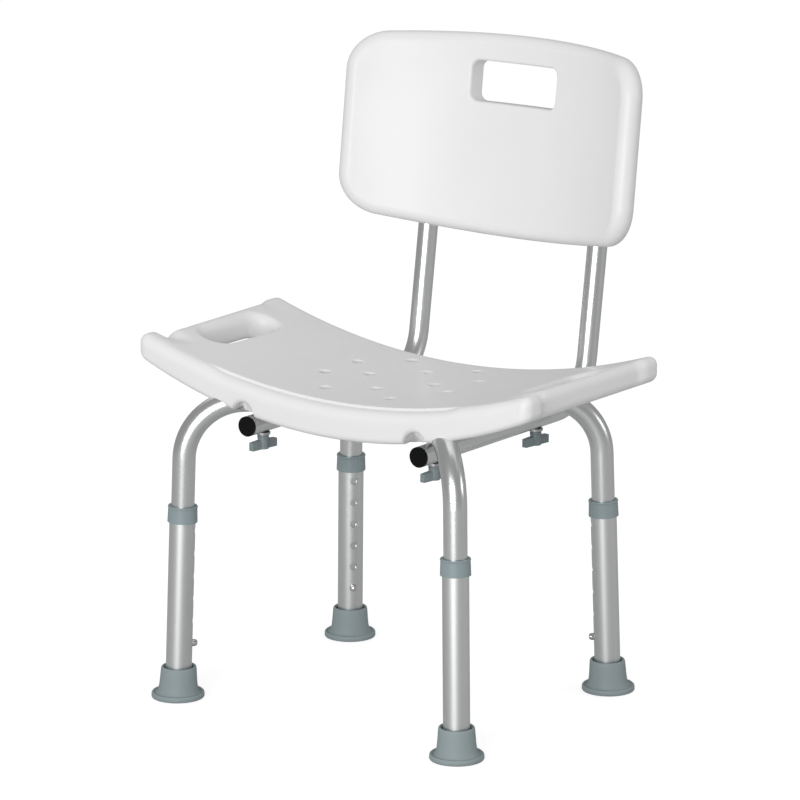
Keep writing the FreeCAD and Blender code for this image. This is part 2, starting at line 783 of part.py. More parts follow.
def archedBlock(halfWidth, lowMiddle, lowEnd, highMiddle, highEnd, front, back):
    """A block along Y between two arcs that rise from the middle to both ends."""
    low = [Vector(x, front, z) for x, z in ((-halfWidth, lowEnd), (0, lowMiddle), (halfWidth, lowEnd))]
    high = [Vector(x, front, z) for x, z in ((halfWidth, highEnd), (0, highMiddle), (-halfWidth, highEnd))]
    outline = Part.Wire([
        Part.Arc(*low).toShape(),
        Part.makeLine(low[-1], high[0]),
        Part.Arc(*high).toShape(),
        Part.makeLine(high[-1], low[0]),
    ])
    return Part.Face(outline).extrude(Vector(0, back - front, 0))


PARALLEL = 0.01  # the sine of the greatest turn that still counts as parallel


def uprightEdges(solid, direction):
    """The straight edges of a solid that run along one direction."""
    found = []
    for edge in solid.Edges:
        run = edge.Vertexes[-1].Point - edge.Vertexes[0].Point
        straight = edge.Curve.TypeId == "Part::GeomLine"
        if straight and run.Length > OVERLAP and run.cross(direction).Length < run.Length * PARALLEL:
            found.append(edge)
    return found


def stadium(length, width, height):
    """An upright slot along Y with round ends, standing on the floor plane around the Z axis."""
    radius = width / 2
    straight = length / 2 - radius
    slot = Part.makeBox(width, 2 * straight, height, Vector(-radius, -straight, 0))
    for side in (-1, 1):
        slot = slot.fuse(Part.makeCylinder(radius, height, Vector(0, side * straight, 0)))
    return slot.removeSplitter()


def edgesInside(solid, box):
    """The edges of a solid that lie wholly inside a box."""
    return [edge for edge in solid.Edges if box.isInside(edge.BoundBox)]


def rimEdges(solid, plan, level):
    """The edges of an opening's upper rim: inside its plan, not upright, and above a level."""
    plan.enlarge(OVERLAP)
    inside = edgesInside(solid, plan)
    boxes = [edge.BoundBox for edge in inside]
    return [
        edge for edge, box in zip(inside, boxes)
        if box.ZLength < max(box.XLength, box.YLength) and box.ZMin > level
    ]


def broadFaces(solid):
    """The two largest faces of a slab, the lower one first."""
    largest = sorted(solid.Faces, key=lambda face: face.Area)[-2:]
    return sorted(largest, key=lambda face: face.CenterOfMass.z)


def tipBend():
    """How far each arc turns, and how far along Y both take, where the end face steps in from a tip."""
    inner, outer = size("recessInner"), size("recessOuter")
    turn = math.acos(1 - size("recessDepth") / (inner + outer))
    return turn, (inner + outer) * math.sin(turn)


def tipArcs(y, side, toward):
    """Two tangent arcs from the outer end of a tip, at y, in to the recessed end face."""
    halfWidth, depth = size("seatHalfWidth"), size("recessDepth")
    inner, outer = size("recessInner"), size("recessOuter")
    turn, run = tipBend()
    edges, ends = [], []
    for centreX, centreY, radius, sign in (
        (halfWidth - outer, y, outer, 1),
        (halfWidth - depth + inner, y + toward * run, inner, -1),
    ):
        points = []
        for share in (0, 0.5, 1):
            angle = turn * share
            points.append(Vector(
                side * (centreX + sign * radius * math.cos(angle)),
                centreY + sign * toward * radius * math.sin(angle), 0,
            ))
        edges.append(Part.Arc(*points).toShape())
        ends.append(points)
    return edges, ends[1][0]


def seatPlan():
    """The outline in plan: tips at the four corners, and a shallow recess between them at each end."""
    halfWidth, tip = size("seatHalfWidth"), size("tipLength")
    frontAndBack = (
        (size("seatFrontY"), 1, size("seatFrontCorner")),
        (size("seatBackY"), -1, size("seatBackCorner")),
    )
    edges = []
    for side in (-1, 1):
        recessEnds = []
        for y, toward, corner in frontAndBack:
            edgeX = side * halfWidth
            middle = Vector(side * (halfWidth - corner), y + toward * corner, 0)
            onFace = Vector(side * (halfWidth - corner), y, 0)
            onEnd = Vector(edgeX, y + toward * corner, 0)
            between = middle + Vector(side, -toward, 0).normalize() * corner
            edges.append(Part.Arc(onFace, between, onEnd).toShape())
            edges.append(Part.makeLine(onEnd, Vector(edgeX, y + toward * tip, 0)))
            arcs, recessEnd = tipArcs(y + toward * tip, side, toward)
            edges += arcs
            recessEnds.append(recessEnd)
        edges.append(Part.makeLine(*recessEnds))
    for y, toward, corner in frontAndBack:
        edges.append(Part.makeLine(Vector(corner - halfWidth, y, 0), Vector(halfWidth - corner, y, 0)))
    return Part.Face(Part.Wire(Part.__sortEdges__(edges)))


def arcRise(rise, x):
    """How high above its middle an arc is at x, if it rises by a given height at the end of the seat."""
    halfWidth = size("seatHalfWidth")
    radius = (halfWidth ** 2 + rise ** 2) / (2 * rise)
    return radius - math.sqrt(radius ** 2 - x ** 2)


def seatBlock():
    spare = size("tipLength")
    reach = size("seatHalfWidth") + spare
    top = size("seatTopMiddle")
    low = top - size("seatMiddleThickness")
    lowEnd = low + arcRise(size("seatBottomRise"), reach)
    topEnd = top + arcRise(size("seatTopRise"), reach)
    front, back = size("seatFrontY") - spare, size("seatBackY") + spare
    block = archedBlock(reach, low, lowEnd, top, topEnd, front, back)
    block = block.common(seatPlan().extrude(Vector(0, 0, 2 * top)))
    block = block.makeFillet(size("seatTopEdge"), broadFaces(block)[1].Edges)
    return block.makeFillet(size("seatBottomEdge"), broadFaces(block)[0].Edges)


def archTools(clearance):
    """The room that both arches need in the seat: round along the tube, open below, wider at the lap."""
    radius = size("archRadius") + clearance
    height = size("archHeight")
    taper = size("lapHalfLength") + size("lapTaper")
    bottom = size("seatTopMiddle") - 2 * size("seatMiddleThickness")
    run = halfArch(radius, size("archHeight") / 2, lapPosition + OVERLAP)
    run = run.fuse(mirroredHalf(radius, size("archHeight") / 2, lapPosition - OVERLAP))
    reach = frontBoltPosition - size("insertRadius")
    slot = Part.makeBox(archSpan - 2 * reach, 2 * radius, height - bottom, Vector(reach, -radius, bottom))
    half = lapHalfWidth() + clearance
    lap = Part.makeBox(
        2 * taper, 2 * half, height + radius - bottom, Vector(lapPosition - taper, -half, bottom)
    )
    room = run.fuse([slot, lap])
    tools = []
    for start, yaw in ((-1, archYaw), (1, math.pi - archYaw)):
        tool = room.copy()
        tool.Placement = Placement(
            Vector(start * size("frontFootX"), size("frontFootY"), 0), Rotation(UP, math.degrees(yaw))
        )
        tools.append(tool)
    return tools


def seatShape():
    seat = seatBlock()
    top = size("seatTopMiddle")
    halfWidth = size("seatHalfWidth")
    for side in (-1, 1):
        slot = stadium(size("handleLength"), size("handleWidth"), 2 * top)
        slot.translate(Vector(side * size("handleX"), size("handleY"), 0))
        seat = seat.cut(slot)
        middle = top + size("seatTopRise") * (size("handleX") / halfWidth) ** 2
        level = middle - size("seatMiddleThickness") / 3
        seat = seat.makeFillet(size("handleEdge"), rimEdges(seat, slot.BoundBox, level))
    x, farX = size("drainX"), size("drainFarX")
    endY, innerY, farY = size("drainEndY"), size("drainInnerY"), size("drainFarY")
    drains = [(0, innerY), (0, -innerY)]
    for side in (-1, 1):
        drains += [(side * x, y) for y in (endY, 0, -endY)]
        drains += [(side * farX, y) for y in (farY, -farY)]
    tools = [
        Part.makeCylinder(size("drainRadius"), 2 * top, Vector(x, size("drainMiddleY") + y, 0))
        for x, y in drains
    ]
    tools += archTools(size("channelClearance"))
    for x, y in boltPlaces:
        depth = size("insertTop") - size("archHeight")
        tools.append(Part.makeCylinder(size("insertRadius"), depth, Vector(x, y, size("archHeight"))))
    lapTop = size("archHeight") + size("archRadius")
    tools.append(Part.makeCylinder(
        size("lapBoltHeadRadius") + size("lapBoltRoom"), size("lapBoltHeadHeight") + size("lapBoltRoom"),
        Vector(0, lapY, lapTop),
    ))
    width, height = size("scallopWidth"), size("scallopHeight")
    radius = (width ** 2 / 4 + height ** 2) / (2 * height)
    bottomRise = size("seatBottomRise") * (size("backTubeX") / halfWidth) ** 2
    scallopZ = top - size("seatMiddleThickness") + bottomRise + height - radius
    for side in (-1, 1):
        centre = Vector(side * size("backTubeX"), size("seatFrontY") - OVERLAP, scallopZ)
        tools.append(Part.makeCylinder(radius, size("scallopDepth") + OVERLAP, centre, BACKWARDS))
    highEnd = top + size("seatTopRise")
    middleY = (size("seatFrontY") + size("seatBackY")) / 2
    depth, radius = size("grooveDepth"), size("grooveRadius")
    fall = depth / size("grooveLength")
    slope = 2 * size("seatTopRise") / halfWidth
    for side in (-1, 1):
        for end in (-1, 1):
            grooveY = middleY + end * size("grooveY")
            start = Vector(side * (halfWidth + OVERLAP), grooveY, highEnd - depth + radius)
            direction = Vector(-side, 0, fall - slope)
            tools.append(Part.makeCylinder(radius, size("grooveLength"), start, direction))
    return seat.cut(tools)


seat = newFeature("seat", seatShape())
place(seat, "0", "0")


# backrest

def panelShape():
    """The curved panel in its own frame: X across, Y to the back, Z up its lean."""
    half = size("panelHalfWidth")
    thickness = size("panelThickness")
    curve = size("panelCurve")
    low, high = size("panelBottom"), size("panelTop")
    lowEnd, highEnd = low + size("panelBottomArch"), high - size("panelTopArch")
    outline = archedBlock(half, low, lowEnd, high, highEnd, -curve / 2, curve / 2)
    outline = outline.makeFillet(size("panelCorner"), uprightEdges(outline, BACKWARDS))
    centre = Vector(0, -curve, low - half)
    ringHeight = high - low + 2 * half
    tube = Part.makeCylinder(curve + thickness / 2, ringHeight, centre)
    tube = tube.cut(Part.makeCylinder(curve - thickness / 2, ringHeight, centre))
    panel = tube.common(outline)
    rims = [edge for face in sorted(panel.Faces, key=lambda face: face.Area)[-2:] for edge in face.Edges]
    panel = panel.makeFillet(size("panelEdge"), rims)
    halfWindow, windowHeight = size("windowHalfWidth"), size("windowTop") - size("windowBottom")
    corner = Vector(-halfWindow, -curve / 2, size("windowBottom"))
    window = Part.makeBox(2 * halfWindow, curve, windowHeight, corner)
    window = window.makeFillet(size("windowCorner"), uprightEdges(window, BACKWARDS))
    panel = panel.cut(window)
    room = window.BoundBox
    room.enlarge(OVERLAP)
    mouth = [edge for edge in edgesInside(panel, room) if edge.BoundBox.YLength < thickness / 2]
    return panel.makeFillet(size("windowEdge"), mouth)


def postLine(height):
    """A point on the left post's axis at a height, without its X."""
    tubeZ = size("archHeight") - size("archRadius") - size("backTubeGap") - size("backTubeRadius")
    return size("postFootY") + (height - tubeZ) * math.tan(math.radians(size("postLean")))


def screwSeat():
    """How far back the screw heads sit, on a flat sunk into the round sockets."""
    outer = size("backTubeRadius") + size("socketWall")
    level = outer / math.cos(math.radians(size("postLean")))
    return postLine(size("screwHeight")) + level - size("screwSink")


def backrestShape():
    panel = panelShape()
    panelBottomZ = size("panelBottomZ")
    panelY = postLine(panelBottomZ) - size("panelAhead")
    panel.Placement = Placement(
        Vector(0, panelY, panelBottomZ), Rotation(Vector(1, 0, 0), -size("panelLean"))
    )
    lean = math.radians(size("postLean"))
    rise = Vector(0, math.sin(lean), math.cos(lean))
    bottom, top = size("socketBottom"), size("postTop")
    outer = size("backTubeRadius") + size("socketWall")
    bore = size("backTubeRadius") + size("socketGap")
    bosses, bores = [], []
    for side in (-1, 1):
        x = side * size("backTubeX")
        start = Vector(x, postLine(bottom), bottom)
        length = (top - bottom) / math.cos(lean)
        bosses.append(Part.makeCylinder(outer, length, start, rise))
        bosses.append(Part.makeSphere(outer, start + rise * length))
        low = bottom - 2 * outer
        depth = (top - low) / math.cos(lean) + size("fitGap")
        bores.append(Part.makeCylinder(bore, depth, Vector(x, postLine(low), low), rise))
        height = size("screwHeight")
        for radius, y in (
            (size("screwRadius") + size("fitGap"), postLine(height)),
            (size("screwHeadRadius") + size("fitGap"), screwSeat()),
        ):
            bores.append(Part.makeCylinder(radius, outer + OVERLAP, Vector(x, y, height), BACKWARDS))
    return panel.fuse(bosses).cut(bores).removeSplitter()


backrest = newFeature("backrest", backrestShape())
place(backrest, "0", "0")


def backrestScrew(x):
    """A pan-head screw driven forwards through the socket into the back of the post."""
    start = Vector(x, screwSeat(), size("screwHeight"))
    head = Part.makeCylinder(size("screwHeadRadius"), size("screwHeadHeight"), start, BACKWARDS)
    shank = Part.makeCylinder(size("screwRadius"), size("screwLength"), start, -BACKWARDS)
    return head.fuse(shank)


screws = newFeature("backrest_screws", Part.Compound([
    backrestScrew(side * size("backTubeX")) for side in (-1, 1)
]))
place(screws, "0", "0")


# centre the chair, check it and write it

doc.recompute()

helpers = set()
for thing in doc.Objects:
    for name in ("Base", "Tool"):
        if thing.TypeId == "Part::Cut":
            helpers.add(getattr(thing, name).Name)
    if thing.TypeId == "Part::Compound":
        helpers.update(link.Name for link in thing.Links)
kinds = ("PartDesign::Body", "Part::Feature", "Part::Cut", "Part::Compound", "Part::Cylinder")
nodes = [thing for thing in doc.Objects if thing.TypeId in kinds and thing.Name not in helpers]

box = FreeCAD.BoundBox()
for node in nodes:
    box.add(node.Shape.optimalBoundingBox(False))
middle = (box.YMin + box.YMax) / 2
sheet.set(f"B{list(sizes).index('originShift') + 1}", str(middle))
doc.recompute()

for thing in doc.Objects:
    if "Invalid" in thing.State or "Error" in thing.State:
        raise RuntimeError(f"{thing.Name} failed: {thing.State}")
for node in nodes:
    if node.Shape.isNull() or not node.Shape.isValid():
        raise RuntimeError(f"{node.Label} has no valid shape")
    if not node.Shape.Solids:
        raise RuntimeError(f"{node.Label} has no solid")
for node in nodes:
    node.Shape.exportStep(f"parts/{node.Label}.step")
print(f"{len(nodes)} nodes, origin moved back {middle:.4f} mm, box {box}")
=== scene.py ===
import json
import math

import bmesh
import bpy
import numpy as np
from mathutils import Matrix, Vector
from mathutils.geometry import delaunay_2d_cdt

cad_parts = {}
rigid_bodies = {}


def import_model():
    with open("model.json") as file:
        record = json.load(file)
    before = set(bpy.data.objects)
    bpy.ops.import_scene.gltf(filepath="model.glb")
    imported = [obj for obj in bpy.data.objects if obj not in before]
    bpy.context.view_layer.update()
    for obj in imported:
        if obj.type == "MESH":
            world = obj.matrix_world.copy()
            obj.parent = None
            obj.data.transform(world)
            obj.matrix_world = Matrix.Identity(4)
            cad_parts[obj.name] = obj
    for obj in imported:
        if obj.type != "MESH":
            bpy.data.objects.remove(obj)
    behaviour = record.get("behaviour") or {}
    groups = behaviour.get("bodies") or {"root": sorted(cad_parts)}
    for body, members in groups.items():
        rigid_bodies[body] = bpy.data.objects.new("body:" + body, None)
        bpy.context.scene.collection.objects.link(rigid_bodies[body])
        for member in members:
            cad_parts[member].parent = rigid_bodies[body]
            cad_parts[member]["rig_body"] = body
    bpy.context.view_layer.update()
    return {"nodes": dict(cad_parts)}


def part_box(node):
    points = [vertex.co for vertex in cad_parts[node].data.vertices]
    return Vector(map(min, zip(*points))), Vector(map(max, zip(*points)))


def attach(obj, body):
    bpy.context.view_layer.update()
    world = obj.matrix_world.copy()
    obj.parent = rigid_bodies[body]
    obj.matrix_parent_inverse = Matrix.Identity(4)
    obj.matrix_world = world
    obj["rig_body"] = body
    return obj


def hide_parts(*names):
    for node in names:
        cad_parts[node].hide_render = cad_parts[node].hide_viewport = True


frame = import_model()
nodes = frame["nodes"]
corners = ("front_left", "front_right", "back_left", "back_right")
mm = 0.001
print("frame loaded:", len(nodes), "nodes")


# camera, floor and light

view = {
    "azimuth": 36.3, "elevation": 13.5, "distance": 5.054,  # degrees round from the front, degrees up, metres
    "target": (0.0034, -0.03585, 0.3327),
    "lens": 209.8,
}


def pointAt(thing, target):
    thing.rotation_euler = (Vector(target) - thing.location).to_track_quat("-Z", "Y").to_euler()


def makeCamera():
    turn, rise = math.radians(view["azimuth"]), math.radians(view["elevation"])
    away = Vector((math.sin(turn) * math.cos(rise), -math.cos(turn) * math.cos(rise), math.sin(rise)))
    cameraData = bpy.data.cameras.new("camera")
    cameraData.lens = view["lens"]
    cameraData.sensor_width = 36
    camera = bpy.data.objects.new("camera", cameraData)
    bpy.context.scene.collection.objects.link(camera)
    camera.location = Vector(view["target"]) + away * view["distance"]
    pointAt(camera, view["target"])
    bpy.context.scene.camera = camera


studio = {
    "floorSize": 60, "floorTone": 0.5, "floorGlow": 0.7,
    "roomSeen": 1.0, "roomGlow": 0.6, "roomMirrored": 0.3,
    # name: place, size, watts, tint
    "lamps": {
        "frontLamp": ((1.15, -3.7, 1.0), 2.3, 84, (1, 1, 1)),
        "topLamp": ((0.2, 0.2, 3.4), 1.6, 6, (1, 1, 1)),
        "rimLamp": ((3.6, 1.9, 1.3), 0.9, 10, (1, 1, 1)),
    },
}


def makeStudio():
    world = bpy.data.worlds.new("room")
    bpy.context.scene.world = world
    world.use_nodes = True
    tree = world.node_tree
    tree.nodes.clear()
    out = tree.nodes.new("ShaderNodeOutputWorld")
    shades = []
    for strength in ("roomGlow", "roomMirrored", "roomSeen"):
        shade = tree.nodes.new("ShaderNodeBackground")
        shade.inputs["Strength"].default_value = studio[strength]
        shade.inputs["Color"].default_value = (1, 1, 1, 1)
        shades.append(shade.outputs[0])
    path = tree.nodes.new("ShaderNodeLightPath")
    below = shades[0]
    for ray, shade in (("Is Glossy Ray", shades[1]), ("Is Camera Ray", shades[2])):
        mix = tree.nodes.new("ShaderNodeMixShader")
        tree.links.new(path.outputs[ray], mix.inputs[0])
        tree.links.new(below, mix.inputs[1])
        tree.links.new(shade, mix.inputs[2])
        below = mix.outputs[0]
    tree.links.new(below, out.inputs["Surface"])

    half = studio["floorSize"] / 2
    mesh = bpy.data.meshes.new("floor")
    floorCorners = [(-half, -half, 0), (half, -half, 0), (half, half, 0), (-half, half, 0)]
    mesh.from_pydata(floorCorners, [], [(0, 1, 2, 3)])
    floor = bpy.data.objects.new("floor", mesh)
    bpy.context.scene.collection.objects.link(floor)
    paint = bpy.data.materials.new("studioFloor")
    paint.use_nodes = True
    tree = paint.node_tree
    tree.nodes.clear()
    out = tree.nodes.new("ShaderNodeOutputMaterial")
    body, lit = tree.nodes.new("ShaderNodeBsdfDiffuse"), tree.nodes.new("ShaderNodeEmission")
    add, path = tree.nodes.new("ShaderNodeAddShader"), tree.nodes.new("ShaderNodeLightPath")
    mix = tree.nodes.new("ShaderNodeMixShader")
    body.inputs["Color"].default_value = (studio["floorTone"],) * 3 + (1,)
    lit.inputs["Strength"].default_value = studio["floorGlow"]
    tree.links.new(body.outputs[0], add.inputs[0])
    tree.links.new(lit.outputs[0], add.inputs[1])
    tree.links.new(path.outputs["Is Camera Ray"], mix.inputs[0])
    tree.links.new(body.outputs[0], mix.inputs[1])
    tree.links.new(add.outputs[0], mix.inputs[2])
    tree.links.new(mix.outputs[0], out.inputs["Surface"])
    mesh.materials.append(paint)

    for name, (place, size, watts, tint) in studio["lamps"].items():
        lamp = bpy.data.lights.new(name, "AREA")
        lamp.size, lamp.energy, lamp.color = size, watts, tint
        lampObject = bpy.data.objects.new(name, lamp)
        bpy.context.scene.collection.objects.link(lampObject)
        lampObject.location = place
        pointAt(lampObject, view["target"])


makeCamera()
makeStudio()
bpy.context.scene.view_settings.view_transform = "Standard"
print("camera and studio ready")


# shared effects: each group puts out a height and a mask for the materials below

effects = {  # noise sizes are per metre; each range is the noise that starts and fills a mask
    "grainDetail": 3, "patchDetail": 5, "patchRange": (0.35, 0.7),
    "legStretch": (1, 1, 0.012), "runStretch": (0.02, 0.02, 1), "bendFade": 0.02,
    "lineDetail": 4, "lineSize": 26, "linePatchDetail": 6, "linePatchRange": (0.35, 0.72),
    "scuffTurn": (0.4, 0.7, 0.3), "scuffStretch": (1, 0.16, 1),
    "scuffSize": 18, "scuffDetail": 4, "scuffRange": (0.55, 0.75), "patchShare": 0.4,
}


def newGroup(name, inputs, outputs):
    group = bpy.data.node_groups.new(name, "ShaderNodeTree")
    for label, value in inputs:
        socket = group.interface.new_socket(label, in_out="INPUT", socket_type="NodeSocketFloat")
        socket.default_value = value
    for label in outputs:
        group.interface.new_socket(label, in_out="OUTPUT", socket_type="NodeSocketFloat")
    return group, group.nodes.new("NodeGroupInput"), group.nodes.new("NodeGroupOutput")


def mathNode(tree, operation, first, second):
    node = tree.nodes.new("ShaderNodeMath")
    node.operation = operation
    for socket, value in zip(node.inputs, (first, second)):
        if isinstance(value, (int, float)):
            socket.default_value = value
        else:
            tree.links.new(value, socket)
    return node.outputs[0]


def rangeNode(tree, value, low, high, toLow=0.0, toHigh=1.0):
    node = tree.nodes.new("ShaderNodeMapRange")
    tree.links.new(value, node.inputs["Value"])
    for label, share in (("From Min", low), ("From Max", high), ("To Min", toLow), ("To Max", toHigh)):
        node.inputs[label].default_value = share
    return node.outputs["Result"]


def noiseNode(tree, vector, scale, detail):
    node = tree.nodes.new("ShaderNodeTexNoise")
    node.inputs["Detail"].default_value = detail
    tree.links.new(vector, node.inputs["Vector"])
    if isinstance(scale, (int, float)):
        node.inputs["Scale"].default_value = scale
    else:
        tree.links.new(scale, node.inputs["Scale"])
    return node.outputs["Fac"]


def grainGroup():
    group, given, out = newGroup("surfaceGrain", [("Scale", 900), ("Patches", 12)], ["Height", "Mask"])
    place = group.nodes.new("ShaderNodeTexCoord").outputs["Object"]
    fine = noiseNode(group, place, given.outputs["Scale"], effects["grainDetail"])
    cells = group.nodes.new("ShaderNodeTexVoronoi")
    group.links.new(place, cells.inputs["Vector"])
    group.links.new(given.outputs["Scale"], cells.inputs["Scale"])
    group.links.new(mathNode(group, "ADD", fine, cells.outputs["Distance"]), out.inputs["Height"])
    patches = noiseNode(group, place, given.outputs["Patches"], effects["patchDetail"])
    group.links.new(rangeNode(group, patches, *effects["patchRange"]), out.inputs["Mask"])
    return group


def drawnGroup():
    group, given, out = newGroup("drawnLines", [("Across", 1400), ("Bend Height", 0.3)], ["Height", "Mask"])
    place = group.nodes.new("ShaderNodeTexCoord").outputs["Object"]
    lines = []
    for stretch in (effects["legStretch"], effects["runStretch"]):
        turn = group.nodes.new("ShaderNodeMapping")
        turn.inputs["Scale"].default_value = stretch
        group.links.new(place, turn.inputs["Vector"])
        lines.append(noiseNode(group, turn.outputs[0], given.outputs["Across"], effects["lineDetail"]))
    parts = group.nodes.new("ShaderNodeSeparateXYZ")
    group.links.new(place, parts.inputs[0])
    above = mathNode(group, "SUBTRACT", parts.outputs["Z"], given.outputs["Bend Height"])
    level = rangeNode(group, above, -effects["bendFade"], effects["bendFade"])
    mix = group.nodes.new("ShaderNodeMix")
    group.links.new(level, mix.inputs["Factor"])
    group.links.new(lines[0], mix.inputs["A"])
    group.links.new(lines[1], mix.inputs["B"])
    group.links.new(mix.outputs[0], out.inputs["Height"])
    patches = noiseNode(group, place, effects["lineSize"], effects["linePatchDetail"])
    group.links.new(rangeNode(group, patches, *effects["linePatchRange"]), out.inputs["Mask"])
    return group


def wearGroup():
    group, given, out = newGroup("handlingMarks", [("Scale", 60), ("Share", 0.03)], ["Mask"])
    place = group.nodes.new("ShaderNodeTexCoord").outputs["Object"]
    turn = group.nodes.new("ShaderNodeMapping")
    turn.inputs["Rotation"].default_value = effects["scuffTurn"]
    turn.inputs["Scale"].default_value = effects["scuffStretch"]
    group.links.new(place, turn.inputs["Vector"])
    cells = group.nodes.new("ShaderNodeTexVoronoi")
    cells.feature = "DISTANCE_TO_EDGE"
    group.links.new(turn.outputs[0], cells.inputs["Vector"])
    group.links.new(given.outputs["Scale"], cells.inputs["Scale"])
    thin = mathNode(group, "LESS_THAN", cells.outputs["Distance"], given.outputs["Share"])
    patches = noiseNode(group, place, effects["scuffSize"], effects["scuffDetail"])
    worn = rangeNode(group, patches, *effects["scuffRange"])
    group.links.new(mathNode(group, "MULTIPLY", thin, worn), out.inputs["Mask"])
    return group


grain, drawn, marks = grainGroup(), drawnGroup(), wearGroup()

# finishes: depth is the bump in metres, marks the share of the surface that is scuffed
finishes = {
    "whiteMoulding": {
        "color": (0.83, 0.835, 0.83), "worn": (0.79, 0.795, 0.785), "rough": (0.4, 0.47), "metal": 0,
        "grain": 1100, "depth": 0.00002, "marks": 0.008,
    },
    "tubeMetal": {
        "color": (0.86, 0.87, 0.87), "worn": (0.8, 0.81, 0.81), "rough": (0.27, 0.35), "metal": 1,
        "lines": 1500, "bendHeight": 0.3, "depth": 0.000006, "marks": 0.006,
    },
    "legMetal": {
        "color": (0.86, 0.87, 0.87), "worn": (0.8, 0.81, 0.81), "rough": (0.4, 0.48), "metal": 1,
        "lines": 1700, "bendHeight": 0.5, "depth": 0.000008, "marks": 0.006,
    },
    "greyPlastic": {
        "color": (0.265, 0.325, 0.34), "worn": (0.24, 0.3, 0.31), "rough": (0.38, 0.48), "metal": 0,
        "grain": 1500, "depth": 0.00002, "marks": 0.01,
    },
    # knob wings: the collars' grey plastic made darker as painted shade for the knobs sitting in shadow; the
    # lighter worn colour is real wear
    "knobPlasticPaintedShade": {
        "color": (0.21, 0.255, 0.265), "worn": (0.26, 0.31, 0.32), "rough": (0.36, 0.46), "metal": 0,
        "grain": 1500, "depth": 0.00002, "marks": 0.02,
    },
    "greyRubber": {
        "color": (0.26, 0.315, 0.325), "worn": (0.3, 0.35, 0.355), "rough": (0.55, 0.68), "metal": 0,
        "grain": 800, "depth": 0.00004, "marks": 0.02,
    },
    "blackPlastic": {
        "color": (0.004, 0.004, 0.004), "worn": (0.008, 0.008, 0.008), "rough": (0.24, 0.34), "metal": 0,
        "grain": 1800, "depth": 0.00001, "marks": 0.01, "gloss": 0.12,
    },
    "zincSteel": {
        "color": (0.6, 0.6, 0.61), "worn": (0.48, 0.48, 0.5), "rough": (0.28, 0.42), "metal": 1,
        "grain": 2200, "depth": 0.00001, "marks": 0.03,
    },
    "brightSteel": {
        "color": (0.8, 0.8, 0.8), "worn": (0.7, 0.7, 0.7), "rough": (0.1, 0.2), "metal": 1,
        "grain": 2600, "depth": 0.000004, "marks": 0.03,
    },
    "springSteel": {
        "color": (0.42, 0.42, 0.44), "worn": (0.32, 0.32, 0.35), "rough": (0.26, 0.38), "metal": 1,
        "grain": 2400, "depth": 0.000006, "marks": 0.03,
    },
    "brassInsert": {
        "color": (0.75, 0.55, 0.25), "worn": (0.6, 0.42, 0.18), "rough": (0.26, 0.38), "metal": 1,
        "grain": 2400, "depth": 0.000008, "marks": 0.03,
    },
}


def mixColour(tree, factor, first, second):
    node = tree.nodes.new("ShaderNodeMix")
    node.data_type = "RGBA"
    tree.links.new(factor, node.inputs["Factor"])
    for label, value in (("A", first), ("B", second)):
        socket = next(s for s in node.inputs if s.name == label and s.type == "RGBA")
        if isinstance(value, tuple):
            socket.default_value = value + (1,)
        else:
            tree.links.new(value, socket)
    return next(s for s in node.outputs if s.type == "RGBA")


def groupNode(tree, group, **values):
    node = tree.nodes.new("ShaderNodeGroup")
    node.node_tree = group
    for label, value in values.items():
        node.inputs[label.replace("_", " ")].default_value = value
    return node.outputs


def makeFinish(name, values):
    material = bpy.data.materials.new(name)
    material.use_nodes = True
    tree = material.node_tree
    shader = tree.nodes["Principled BSDF"]
    if "lines" in values:
        surface = groupNode(tree, drawn, Across=values["lines"], Bend_Height=values["bendHeight"])
    else:
        surface = groupNode(tree, grain, Scale=values["grain"])
    scuffs = groupNode(tree, marks, Share=values["marks"])["Mask"]
    patches = mathNode(tree, "MULTIPLY", surface["Mask"], effects["patchShare"])
    dulled = mathNode(tree, "MAXIMUM", patches, scuffs)
    tree.links.new(mixColour(tree, dulled, values["color"], values["worn"]), shader.inputs["Base Color"])
    tree.links.new(rangeNode(tree, dulled, 0, 1, *values["rough"]), shader.inputs["Roughness"])
    bump = tree.nodes.new("ShaderNodeBump")
    bump.inputs["Distance"].default_value = values["depth"]
    tree.links.new(surface["Height"], bump.inputs["Height"])
    tree.links.new(bump.outputs[0], shader.inputs["Normal"])
    shader.inputs["Metallic"].default_value = values["metal"]
    shader.inputs["Specular IOR Level"].default_value = values.get("gloss", 0.5)
    return material


materials = {name: makeFinish(name, values) for name, values in finishes.items()}
wearing = {
    "seat": "whiteMoulding", "backrest": "whiteMoulding", "seat_inserts": "brassInsert",
    "backrest_screws": "zincSteel", "back_tube": "tubeMetal", "tube_cap": "blackPlastic",
    "leg_arch": "tubeMetal", "lap_": "zincSteel", "knob_washers": "zincSteel",
    "button_spring": "springSteel", "leg_tube": "legMetal", "leg_collar": "greyPlastic",
    "foot_disc": "zincSteel", "foot_": "greyRubber", "snap_button": "brightSteel",
    # knob wings and their hub ribs wear the darkened copy of the grey plastic, painted shade
    "knob_wing": "knobPlasticPaintedShade", "knob_stud": "zincSteel",
}


def wear(thing, material):
    thing.data.materials.clear()
    thing.data.materials.append(material)


for name, thing in nodes.items():
    key = max((key for key in wearing if name.startswith(key)), key=len)
    wear(thing, materials[wearing[key]])
print("finishes:", len(materials))


# moulded shells: an outline with holes, between an upper and a lower surface

def smoothStep(low, high, value):
    share = np.clip((value - low) / (high - low), 0, 1)
    return share * share * (3 - 2 * share)


def shoulder(distance, width, drop):
    share = np.clip(1 - distance / width, 0, 1)
    return drop * (1 - np.sqrt(1 - share * share))


def loopDistance(points, loop):
    start, end = loop, np.roll(loop, -1, axis=0)
    run = end - start
    length = (run ** 2).sum(1)
    best = np.full(len(points), np.inf)
    for first in range(0, len(points), 2000):
        part = points[first:first + 2000, None, :] - start[None]
        share = np.clip((part * run[None]).sum(2) / length, 0, 1)
        away = part - share[..., None] * run[None]
        best[first:first + 2000] = np.sqrt((away ** 2).sum(2).min(1))
    return best


